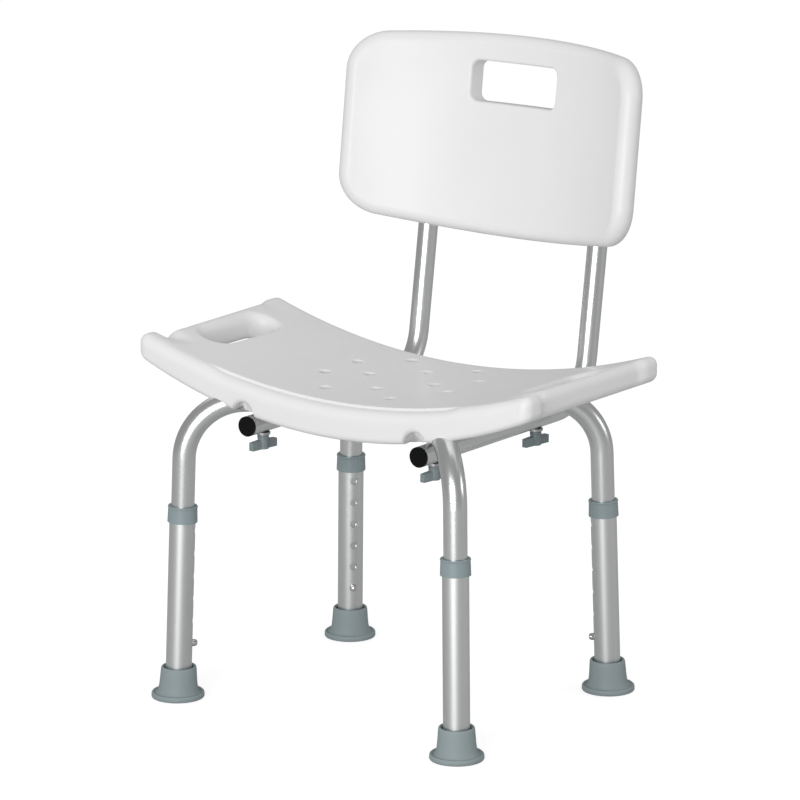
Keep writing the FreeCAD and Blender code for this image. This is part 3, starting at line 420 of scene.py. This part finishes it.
def insideLoop(points, loop):
    x, y = points[:, 0:1], points[:, 1:2]
    x0, y0 = loop[:, 0], loop[:, 1]
    x1, y1 = np.roll(x0, -1), np.roll(y0, -1)
    spans = (y0[None] > y) != (y1[None] > y)
    rise = np.where(y1 == y0, 1, y1 - y0)
    crossing = x0 + (y - y0) * (x1 - x0) / rise
    return (spans & (x < crossing)).sum(1) % 2 == 1


def evenly(loop, step):
    closed = np.vstack([loop, loop[:1]])
    along = np.concatenate([[0], np.cumsum(np.sqrt((np.diff(closed, axis=0) ** 2).sum(1)))])
    count = max(12, int(round(along[-1] / step)))
    at = np.linspace(0, along[-1], count, endpoint=False)
    return np.column_stack([np.interp(at, along, closed[:, 0]), np.interp(at, along, closed[:, 1])])


def softened(loop, rounds):
    for _ in range(rounds):
        loop = loop / 2 + (np.roll(loop, 1, axis=0) + np.roll(loop, -1, axis=0)) / 4
    return loop


def insetRings(loop, distances, inward):
    run = np.roll(loop, -1, axis=0) - np.roll(loop, 1, axis=0)
    run /= np.sqrt((run ** 2).sum(1))[:, None]
    normal = np.column_stack([-run[:, 1], run[:, 0]]) * inward
    return [loop + normal * distance for distance in distances]


def fillSheet(outline, holes, rings, lines, spacing):
    points, edges, loops = [], [], []
    for loop in [outline] + holes:
        first = len(points)
        points += loop.tolist()
        loops.append(range(first, len(points)))
        edges += [(first + i, first + (i + 1) % len(loop)) for i in range(len(loop))]
    for ring, own, reach in rings:
        clear = np.full(len(ring), True)
        for index, loop in enumerate([outline] + holes):
            away = loopDistance(ring, loop)
            clear &= away > (reach * 0.98 if index == own else reach)
            clear &= insideLoop(ring, loop) == (index == 0)
        first = len(points)
        where = np.full(len(ring), -1)
        where[clear] = first + np.arange(clear.sum())
        points += ring[clear].tolist()
        for i in range(len(ring)):
            pair = (int(where[i]), int(where[(i + 1) % len(ring)]))
            if min(pair) >= 0:
                edges.append(pair)
    for line in lines:
        clear = insideLoop(line, outline) & (loopDistance(line, outline) > 0.3)
        for hole in holes:
            clear &= ~insideLoop(line, hole) & (loopDistance(line, hole) > 0.3)
        first = len(points)
        where = np.full(len(line), -1)
        where[clear] = first + np.arange(clear.sum())
        points += line[clear].tolist()
        for i in range(len(line) - 1):
            pair = (int(where[i]), int(where[i + 1]))
            if min(pair) >= 0:
                edges.append(pair)
    low, high = outline.min(0), outline.max(0)
    across = np.arange(low[0], high[0], spacing)
    up = np.arange(low[1], high[1], spacing)
    grid = np.array([(x + (spacing / 2 if row % 2 else 0), y) for row, y in enumerate(up) for x in across])
    grid = grid[insideLoop(grid, outline)]
    clear = np.full(len(grid), True)
    known = np.array(points)
    for first in range(0, len(grid), 500):
        part = grid[first:first + 500]
        near = ((part[:, None, :] - known[None]) ** 2).sum(2).min(1)
        clear[first:first + 500] = near > (spacing * 0.6) ** 2
    for hole in holes:
        clear &= ~insideLoop(grid, hole)
    points += grid[clear].tolist()
    made = delaunay_2d_cdt([Vector(point) for point in points], edges, [], 0, 1e-5, True)
    spots = np.array([tuple(point) for point in made[0]])
    faces = np.array([tuple(face) for face in made[2]])
    middles = spots[faces].mean(1)
    kept = insideLoop(middles, outline)
    for hole in holes:
        kept &= ~insideLoop(middles, hole)
    became = {}
    for spot, sources in enumerate(made[3]):
        for source in sources:
            became[source] = spot
    return spots, faces[kept], [[became[i] for i in loop] for loop in loops]


def mouldedShell(name, upper, lower, upperZ, lowerZ, toFrame, wallRows):
    places, faces = [], []
    (upperSpots, upperFaces, upperLoops), (lowerSpots, lowerFaces, lowerLoops) = upper, lower
    upperHeights, lowerHeights = upperZ(upperSpots), lowerZ(lowerSpots)
    places = np.vstack([
        np.column_stack([upperSpots, upperHeights]), np.column_stack([lowerSpots, lowerHeights]),
    ]).tolist()
    shift = len(upperSpots)
    faces = upperFaces.tolist() + [[shift + i for i in face[::-1]] for face in lowerFaces.tolist()]
    for upperLoop, lowerLoop in zip(upperLoops, lowerLoops):
        rows = [list(upperLoop)]
        for row in range(1, wallRows):
            share = row / wallRows
            first = len(places)
            for a, b in zip(upperLoop, lowerLoop):
                top, bottom = places[a], places[shift + b]
                places.append([top[0], top[1], top[2] * (1 - share) + bottom[2] * share])
            rows.append(list(range(first, len(places))))
        rows.append([shift + i for i in lowerLoop])
        for above, below in zip(rows, rows[1:]):
            for i in range(len(above)):
                j = (i + 1) % len(above)
                faces.append([above[i], below[i], below[j], above[j]])
    mesh = bpy.data.meshes.new(name)
    mesh.from_pydata(toFrame(np.array(places)).tolist(), [], faces)
    work = bmesh.new()
    work.from_mesh(mesh)
    bmesh.ops.dissolve_degenerate(work, dist=1e-6, edges=work.edges)
    bmesh.ops.recalc_face_normals(work, faces=work.faces)
    work.to_mesh(mesh)
    work.free()
    mesh.shade_smooth()
    mesh.set_sharp_from_angle(angle=math.radians(48))
    shell = bpy.data.objects.new(name, mesh)
    bpy.context.scene.collection.objects.link(shell)
    return shell


def arcLift(rise, halfWidth, x):
    radius = (halfWidth ** 2 + rise ** 2) / (2 * rise)
    return radius - np.sqrt(radius ** 2 - x ** 2)


def stadiumLoop(x, y, width, length, step):
    radius, straight = width / 2, length / 2 - width / 2
    turn = np.linspace(0, math.pi, 40)
    cap = np.column_stack([radius * np.cos(turn), radius * np.sin(turn)])
    loop = np.vstack([cap + (0, straight), -cap - (0, straight)])
    return evenly(loop + (x, y), step)


def circleLoop(x, y, radius, count):
    turn = np.linspace(0, 2 * math.pi, count, endpoint=False)
    return np.column_stack([x + radius * np.cos(turn), y + radius * np.sin(turn)])


# seat

seatLook = {  # millimetres; places along Y are from the seat's own middle
    "cornerRadius": 11, "tipLength": 24, "tipFade": 18, "recess": (10, 3),  # recess at the front, at the back
    "thickness": 38.5, "topRise": 44.9, "bottomRise": 55.1,
    "rimWidth": 12.5, "rimDrop": 12.5, "underRim": 7,
    "handleX": 218, "handleY": 2, "handleWidth": 36, "handleLength": 109,
    "handleMouth": 9, "handleMouthDrop": 10, "drainRadius": 6, "drainMouth": 1.6,
    "valleyY": 88, "valleyWidth": 10, "valleyDepths": (11, 1), "valleyReach": 52,  # front, back
    "stepY": 14, "stepHeight": 2.8, "stepWidth": 1.6, "stepHalf": 172, "stepFade": 26,
    "scallopX": 114.6, "scallopWidth": 30, "scallopHeight": 12, "scallopDepth": 14,
    "grid": 6, "outlineStep": 1.6, "sideStep": 1.5, "handleStep": 2.4, "drainPoints": 28, "lineStep": 3,
    "cornerPoints": 16, "softenRounds": 3, "wallRows": 4,
    "rimShares": (0.02, 0.07, 0.15, 0.26, 0.4, 0.57, 0.77, 1, 1.3), "drainShares": (0.1, 0.4, 1, 2),
    "creaseStep": 2.2, "creaseSpare": 30, "creaseShares": (-0.9, -0.5, -0.17, 0.17, 0.5, 0.9),
    "valleyShares": (-3, 3.1, 0.5), "valleyRun": 1.2, "valleyStop": 1.4,  # from, to, step; starts, ends
}
drainPlaces = [
    (x * side, y)
    for side in (-1, 1)
    for x, y in ((44, 89.5), (44, -68.5), (44, 10.5), (82, 40.5), (82, -19.5))
] + [(0, 57.5), (0, -36.5)]
channel = {  # millimetres: the room for the arches under the seat
    "tubeRadius": 12.7, "radius": 13, "bend": 66, "bendEnd": 75.6,
    "lapHalf": 38, "lapHalfWidth": 16.65, "lapRoof": 0.3, "headRadius": 7, "headRoof": 4.2,
    "start": 40, "offsets": (0, 4, 8, 11, 12.4, 13, 13.25, 16.4, 16.9),
}


def makeSeat():
    sizes = seatLook
    low, high = (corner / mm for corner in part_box("seat"))
    half = high.x
    front, back = low.y, high.y
    middle = (front + back) / 2
    topMiddle = high.z - sizes["topRise"]
    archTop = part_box("leg_arch_upper")[1].z / mm

    def recessAt(y):
        reach = sizes["tipLength"]
        inFront = smoothStep(front + reach, front + reach + sizes["tipFade"], y)
        behind = 1 - smoothStep(back - reach - sizes["tipFade"], back - reach, y)
        depth = np.interp(y, (front, back), sizes["recess"])
        return depth * inFront * behind

    radius = sizes["cornerRadius"]
    turn = np.linspace(0, math.pi / 2, sizes["cornerPoints"])
    arc = np.column_stack([np.sin(turn), 1 - np.cos(turn)]) * radius
    side = np.arange(front + radius + 1, back - radius, sizes["sideStep"])
    right = np.vstack([
        arc + (half - radius, front),
        np.column_stack([half - recessAt(side), side]),
        arc[::-1] * (1, -1) + (half - radius, back),
    ])
    outline = np.vstack([right, right[::-1] * (-1, 1)])
    outline = softened(evenly(outline, sizes["outlineStep"]), sizes["softenRounds"])
    outline = evenly(outline, sizes["outlineStep"])
    handles = []
    for end in (-1, 1):
        at = (end * sizes["handleX"], middle + sizes["handleY"])
        handles.append(stadiumLoop(*at, sizes["handleWidth"], sizes["handleLength"], sizes["handleStep"]))
    drains = [circleLoop(x, middle + y, sizes["drainRadius"], sizes["drainPoints"]) for x, y in drainPlaces]
    holes = handles + drains

    def rimRings(width, mouth, drainMouth):
        rings = []
        for share in sizes["rimShares"]:
            rings.append((insetRings(outline, [width * share], 1)[0], 0, width * share))
            for index, hole in enumerate(handles):
                rings.append((insetRings(hole, [mouth * share], -1)[0], 1 + index, mouth * share))
        for share in sizes["drainShares"]:
            for index, hole in enumerate(drains):
                ring = insetRings(hole, [drainMouth * share], -1)[0]
                rings.append((ring, 1 + len(handles) + index, drainMouth * share))
        return rings

    creaseEnd = sizes["stepHalf"] + sizes["creaseSpare"]
    stepX = np.arange(-creaseEnd, creaseEnd, sizes["creaseStep"])
    stepLine = front + sizes["stepY"]
    stepLines = [
        np.column_stack([stepX, np.full(len(stepX), stepLine + offset * sizes["stepWidth"])])
        for offset in sizes["creaseShares"]
    ]
    for end in (-1, 1):
        for offset in np.arange(*sizes["valleyShares"]):
            at = middle + end * sizes["valleyY"] + offset * sizes["valleyWidth"]
            inner = half - sizes["valleyReach"] * sizes["valleyRun"]
            outer = half - sizes["rimWidth"] * sizes["valleyStop"]
            for edgeSide in (-1, 1):
                run = edgeSide * np.arange(inner, outer, sizes["lineStep"])
                stepLines.append(np.column_stack([run, np.full(len(run), at)]))

    def topAt(points):
        x, y = points[:, 0], points[:, 1]
        height = topMiddle + arcLift(sizes["topRise"], half, x)
        fall = shoulder(loopDistance(points, outline), sizes["rimWidth"], sizes["rimDrop"]) ** 2
        for hole in handles:
            fall += shoulder(loopDistance(points, hole), sizes["handleMouth"], sizes["handleMouthDrop"]) ** 2
        for hole in drains:
            fall += shoulder(loopDistance(points, hole), sizes["drainMouth"], sizes["drainMouth"]) ** 2
        fade = smoothStep(half - sizes["valleyReach"], half, np.abs(x))
        for end, depth in zip((-1, 1), sizes["valleyDepths"]):
            off = (y - middle - end * sizes["valleyY"]) / sizes["valleyWidth"]
            fall += (depth * fade * np.exp(-off * off)) ** 2
        margin = 1 - smoothStep(stepLine - sizes["stepWidth"] / 2, stepLine + sizes["stepWidth"] / 2, y)
        margin *= 1 - smoothStep(sizes["stepHalf"] - sizes["stepFade"], sizes["stepHalf"], np.abs(x))
        return height - np.sqrt(fall) - sizes["stepHeight"] * margin

    # the frame's channels: one along each pair of feet
    feet = {corner: sum(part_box(f"foot_{corner}"), Vector()) / 2 / mm for corner in corners}
    axisHeight = archTop - channel["tubeRadius"]
    offsets = sorted({sign * offset for sign in (-1, 1) for offset in channel["offsets"]})
    paths = [("front_left", "back_right"), ("front_right", "back_left")]
    channelLines = []
    for first, last in paths:
        start, end = np.array(feet[first].xy), np.array(feet[last].xy)
        run = end - start
        span = math.hypot(*run)
        run /= span
        across = np.array((-run[1], run[0]))
        at = np.arange(channel["start"], span - channel["start"], sizes["lineStep"])[:, None]
        for offset in offsets:
            channelLines.append(start + run * at + across * offset)

    def bottomAt(points):
        x, y = points[:, 0], points[:, 1]
        height = topMiddle - sizes["thickness"] + arcLift(sizes["bottomRise"], half, x)
        lift = (sizes["scallopWidth"] ** 2 / 4 + sizes["scallopHeight"] ** 2) / (2 * sizes["scallopHeight"])
        for end in (-1, 1):
            off = x - end * sizes["scallopX"]
            inside = (np.abs(off) < lift) & (y < front + sizes["scallopDepth"])
            rise = float(arcLift(sizes["bottomRise"], half, sizes["scallopX"]))
            lowest = topMiddle - sizes["thickness"] + rise
            crown = lowest + sizes["scallopHeight"] - lift + np.sqrt(np.clip(lift ** 2 - off ** 2, 0, None))
            height = np.where(inside, np.maximum(height, crown), height)
        height = height + shoulder(loopDistance(points, outline), sizes["underRim"], sizes["underRim"])
        for hole in handles:
            height += shoulder(loopDistance(points, hole), sizes["underRim"], sizes["underRim"])
        for first, last in paths:
            start, end = np.array(feet[first].xy), np.array(feet[last].xy)
            run = (end - start) / math.hypot(*(end - start))
            off = points - start
            along = off @ run
            aside = np.abs(off @ np.array((-run[1], run[0])))
            span = math.hypot(*(end - start))
            far = np.maximum(channel["bendEnd"] - along, channel["bendEnd"] - (span - along))
            bend = np.clip(far, 0, channel["bend"] - 1)
            axis = axisHeight - (channel["bend"] - np.sqrt(channel["bend"] ** 2 - bend ** 2))
            roof = axis + np.sqrt(np.clip(channel["radius"] ** 2 - aside ** 2, 0, None))
            height = np.where(aside < channel["radius"] + 0.1, np.maximum(height, roof), height)
            crossing = -start[0] / run[0]
            lap = (np.abs(along - crossing) < channel["lapHalf"]) & (aside < channel["lapHalfWidth"])
            height = np.where(lap, np.maximum(height, archTop + channel["lapRoof"]), height)
            head = np.hypot(along - crossing, aside) < channel["headRadius"]
            height = np.where(head, np.maximum(height, archTop + channel["headRoof"]), height)
        return height

    def toFrame(points):
        return points * mm

    upperRings = rimRings(sizes["rimWidth"], sizes["handleMouth"], sizes["drainMouth"])
    upper = fillSheet(outline, holes, upperRings, stepLines, sizes["grid"])
    lowerRings = rimRings(sizes["underRim"], sizes["underRim"], sizes["drainMouth"])
    lower = fillSheet(outline, holes, lowerRings, channelLines, sizes["grid"])
    shell = mouldedShell("seatMoulding", upper, lower, topAt, bottomAt, toFrame, sizes["wallRows"])
    wear(shell, materials["whiteMoulding"])
    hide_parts("seat")
    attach(shell, "frame")
    print("seat:", len(shell.data.polygons), "faces")


makeSeat()

# feet: a boot over a dished flange, turned and then sheared along the leaning leg

footLook = {  # radius and height, millimetres, from the middle of the sole out, up and into the bore
    "profile": (
        (0, 1.5), (14.6, 1.5), (15, 1.1), (15, 0.4), (15.4, 0), (27.4, 0), (28.6, 0.4), (29.15, 1.4),
        (29.15, 4.2), (28.9, 5.4), (28.2, 6.2), (27.3, 6.3), (26.6, 5.7), (25.8, 5.1), (24.9, 5),
        (23.9, 5.5), (23, 6.7), (22.3, 8.3), (21.7, 10.6), (21.1, 14.2), (20.5, 20), (20, 27),
        (19.6, 32.4), (19.2, 34.1), (18.6, 34.9), (17.9, 35), (17.2, 34.8), (16.6, 34.1), (16.2, 32.8),
        (15.9, 30), (15.4, 20), (15.1, 11.5), (14.9, 8.6), (14.4, 8.4), (0, 8.4),
    ),
    "segments": 72, "leanFrom": 7, "lean": 2.02,
}


def turnedMesh(name, profile, segments):
    mesh, work = bpy.data.meshes.new(name), bmesh.new()
    rings = []
    for radius, height in profile:
        count = segments if radius else 1
        turns = [2 * math.pi * k / segments for k in range(count)]
        ring = [work.verts.new((radius * math.cos(t), radius * math.sin(t), height)) for t in turns]
        rings.append(ring)
    for below, above in zip(rings, rings[1:]):
        for k in range(segments):
            after = (k + 1) % segments
            if len(below) == 1:
                work.faces.new((below[0], above[k], above[after]))
            elif len(above) == 1:
                work.faces.new((below[k], below[after], above[0]))
            else:
                work.faces.new((below[k], below[after], above[after], above[k]))
    bmesh.ops.recalc_face_normals(work, faces=work.faces)
    work.to_mesh(mesh)
    work.free()
    mesh.shade_smooth()
    mesh.set_sharp_from_angle(angle=math.radians(50))
    return mesh


def makeFeet():
    centres = {corner: sum(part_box(f"foot_{corner}"), Vector()) / 2 for corner in corners}
    slope = math.tan(math.radians(footLook["lean"]))
    for corner, other in zip(corners, reversed(corners)):
        mesh = turnedMesh(f"boot_{corner}", footLook["profile"], footLook["segments"])
        inward = (centres[other] - centres[corner]).xy.normalized()
        for vertex in mesh.vertices:
            if vertex.co.z > footLook["leanFrom"]:
                vertex.co.xy += inward * vertex.co.z * slope
            vertex.co *= mm
            vertex.co += Vector((centres[corner].x, centres[corner].y, 0))
        boot = bpy.data.objects.new(f"boot_{corner}", mesh)
        bpy.context.scene.collection.objects.link(boot)
        wear(boot, materials["greyRubber"])
        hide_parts(f"foot_{corner}")
        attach(boot, nodes[f"foot_{corner}"]["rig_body"])
    print("feet:", len(corners))


makeFeet()


# rings of small pads: treads under the feet and grip ribs round the knob hubs

ringInputs = {
    "Count": "NodeSocketInt", "Radius": "NodeSocketFloat", "Pad": "NodeSocketVector",
    "Finish": "NodeSocketMaterial",
}


def ringTree():
    tree = bpy.data.node_groups.new("padRing", "GeometryNodeTree")
    tree.interface.new_socket("Geometry", in_out="INPUT", socket_type="NodeSocketGeometry")
    for label, kind in ringInputs.items():
        tree.interface.new_socket(label, in_out="INPUT", socket_type=kind)
    tree.interface.new_socket("Geometry", in_out="OUTPUT", socket_type="NodeSocketGeometry")
    given, out = tree.nodes.new("NodeGroupInput"), tree.nodes.new("NodeGroupOutput")
    circle, pad, points, instances, real, paint = (
        tree.nodes.new(f"GeometryNode{kind}") for kind in (
            "CurvePrimitiveCircle", "MeshCube", "CurveToPoints", "InstanceOnPoints", "RealizeInstances",
            "SetMaterial",
        )
    )
    pad.inputs["Vertices X"].default_value = pad.inputs["Vertices Y"].default_value = 3
    tree.links.new(given.outputs["Radius"], circle.inputs["Radius"])
    tree.links.new(circle.outputs["Curve"], points.inputs["Curve"])
    tree.links.new(given.outputs["Count"], points.inputs["Count"])
    tree.links.new(given.outputs["Pad"], pad.inputs["Size"])
    tree.links.new(points.outputs["Points"], instances.inputs["Points"])
    tree.links.new(points.outputs["Rotation"], instances.inputs["Rotation"])
    tree.links.new(pad.outputs["Mesh"], instances.inputs["Instance"])
    tree.links.new(instances.outputs["Instances"], real.inputs["Geometry"])
    tree.links.new(real.outputs["Geometry"], paint.inputs["Geometry"])
    tree.links.new(given.outputs["Finish"], paint.inputs["Material"])
    tree.links.new(paint.outputs["Geometry"], out.inputs["Geometry"])
    return tree


def makeRing(name, rows, finish, place, body):
    work = bmesh.new()
    for count, radius, pad, height in rows:
        seed = bpy.data.objects.new(name, bpy.data.meshes.new(name))
        bpy.context.scene.collection.objects.link(seed)
        modifier = seed.modifiers.new("ring", "NODES")
        modifier.node_group = padRing
        values = {"Count": count, "Radius": radius * mm, "Pad": [side * mm for side in pad], "Finish": finish}
        for item in padRing.interface.items_tree:
            if item.in_out == "INPUT" and item.name in values:
                modifier[item.identifier] = values[item.name]
        graph = bpy.context.evaluated_depsgraph_get()
        mesh = bpy.data.meshes.new_from_object(seed.evaluated_get(graph))
        for vertex in mesh.vertices:
            vertex.co += Vector((place[0], place[1], place[2] + height * mm))
        work.from_mesh(mesh)
        bpy.data.objects.remove(seed)
    mesh = bpy.data.meshes.new(name)
    bmesh.ops.recalc_face_normals(work, faces=work.faces)
    work.to_mesh(mesh)
    work.free()
    ring = bpy.data.objects.new(name, mesh)
    bpy.context.scene.collection.objects.link(ring)
    wear(ring, finish)
    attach(ring, body)


padRing = ringTree()
# millimetres: count, radius, (out from the middle, up, round the ring), height of the pads' middles
treadLook = {"rows": ((12, 12.2, (1.1, 1.5, 2.4), 0.8), (7, 6.6, (1.1, 1.5, 2.4), 0.8))}
ribLook = {"rows": ((16, 5.9, (0.9, 3, 0.8), -2.6),)}
for corner in corners:
    low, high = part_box(f"foot_{corner}")
    middle = (low + high) / 2
    body = nodes[f"foot_{corner}"]["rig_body"]
    sole, rubber = (middle.x, middle.y, 0), materials["greyRubber"]
    makeRing(f"sole_treads_{corner}", treadLook["rows"], rubber, sole, body)
    low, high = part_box(f"knob_wing_{corner}")
    middle = (low + high) / 2
    body = nodes[f"knob_wing_{corner}"]["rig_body"]
    hub, plastic = (middle.x, middle.y, high.z), materials["knobPlasticPaintedShade"]
    makeRing(f"knob_ribs_{corner}", ribLook["rows"], plastic, hub, body)
print("treads and ribs made")


# knobs: the plain forms with their edges rounded

knobLook = {"edge": 1.6, "segments": 4, "sharp": 35}  # millimetres, steps, degrees


def softenedCopy(nodeName, look, finish):
    mesh, work = bpy.data.meshes.new(f"{nodeName}_form"), bmesh.new()
    work.from_mesh(nodes[nodeName].data)
    bmesh.ops.remove_doubles(work, verts=work.verts, dist=1e-6)
    flat = math.radians(1)
    bmesh.ops.dissolve_limit(work, angle_limit=flat, verts=work.verts, edges=work.edges)
    limit = math.radians(look["sharp"])
    sharp = [e for e in work.edges if len(e.link_faces) == 2 and e.calc_face_angle() > limit]
    bmesh.ops.bevel(
        work, geom=sharp, offset=look["edge"] * mm, segments=look["segments"], affect="EDGES", profile=0.5,
        clamp_overlap=True,
    )
    bmesh.ops.triangulate(work, faces=work.faces)
    bmesh.ops.recalc_face_normals(work, faces=work.faces)
    work.to_mesh(mesh)
    work.free()
    mesh.shade_smooth()
    mesh.set_sharp_from_angle(angle=math.radians(50))
    form = bpy.data.objects.new(f"{nodeName}_form", mesh)
    bpy.context.scene.collection.objects.link(form)
    wear(form, finish)
    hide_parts(nodeName)
    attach(form, nodes[nodeName]["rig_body"])


for corner in corners:
    softenedCopy(f"knob_wing_{corner}", knobLook, materials["knobPlasticPaintedShade"])
print("knobs rounded")
